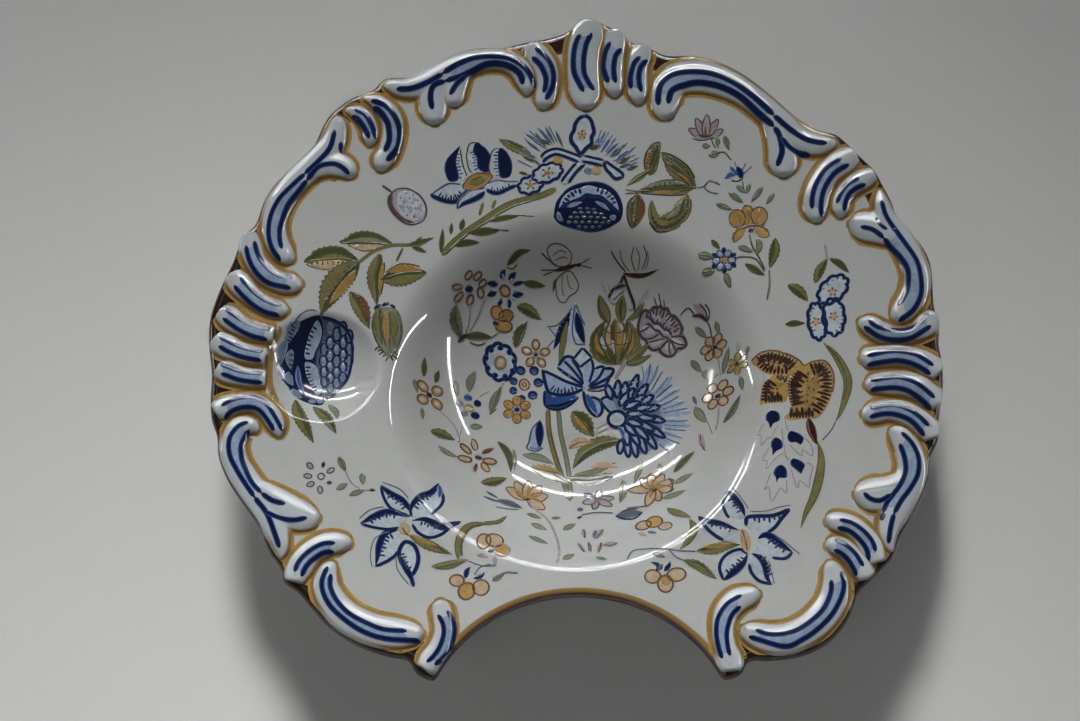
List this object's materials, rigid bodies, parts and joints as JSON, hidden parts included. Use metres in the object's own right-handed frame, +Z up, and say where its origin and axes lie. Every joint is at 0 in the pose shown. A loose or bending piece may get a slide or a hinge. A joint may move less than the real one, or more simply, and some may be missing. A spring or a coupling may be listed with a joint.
{
  "type": "barber bowl",
  "caption": "Round glazed earthenware shaving dish with a deep well, a broad lobed flange, a neck notch, a soap hollow, a relief scroll border and painted flower sprays.",
  "frame": {"origin": "on the well's axis, in the plane that the foot ring stands on", "axes": "+Z up out of the well, -Y towards the neck notch, -X towards the soap hollow"},
  "size_m": [0.3405, 0.3339, 0.0696],
  "materials": {
    "tin_glaze": "gloss",
    "cobalt_line": "gloss",
    "cobalt_wash": "gloss",
    "ochre_line": "gloss",
    "leaf_green": "gloss",
    "straw_yellow": "gloss",
    "manganese_purple": "gloss",
    "manganese_brown": "gloss"
  },
  "bodies": {
    "root": {"dish_body": "tin_glaze", "foot_ring": "tin_glaze", "top_shell_lobe_1": "tin_glaze", "top_shell_lobe_2": "tin_glaze", "top_shell_lobe_3": "tin_glaze", "top_shell_lobe_4": "tin_glaze", "scroll_top_right": "tin_glaze", "fan_upper_right_1": "tin_glaze", "fan_upper_right_2": "tin_glaze", "scroll_right_upper": "tin_glaze", "right_shell_lobe_1": "tin_glaze", "right_shell_lobe_2": "tin_glaze", "right_shell_lobe_3": "tin_glaze", "right_shell_lobe_4": "tin_glaze", "scroll_right_lower": "tin_glaze", "fan_lower_right_1": "tin_glaze", "fan_lower_right_2": "tin_glaze", "scroll_bottom_right": "tin_glaze", "horn_lobe_right": "tin_glaze", "horn_lobe_left": "tin_glaze", "scroll_bottom_left": "tin_glaze", "fan_lower_left": "tin_glaze", "scroll_left_lower": "tin_glaze", "left_shell_lobe_1": "tin_glaze", "left_shell_lobe_2": "tin_glaze", "left_shell_lobe_3": "tin_glaze", "left_shell_lobe_4": "tin_glaze", "left_shell_lobe_5": "tin_glaze", "left_shell_lobe_6": "tin_glaze", "scroll_left_upper": "tin_glaze", "fan_upper_left_1": "tin_glaze", "fan_upper_left_2": "tin_glaze", "scroll_top_left": "tin_glaze"}
  },
  "joints": []
}
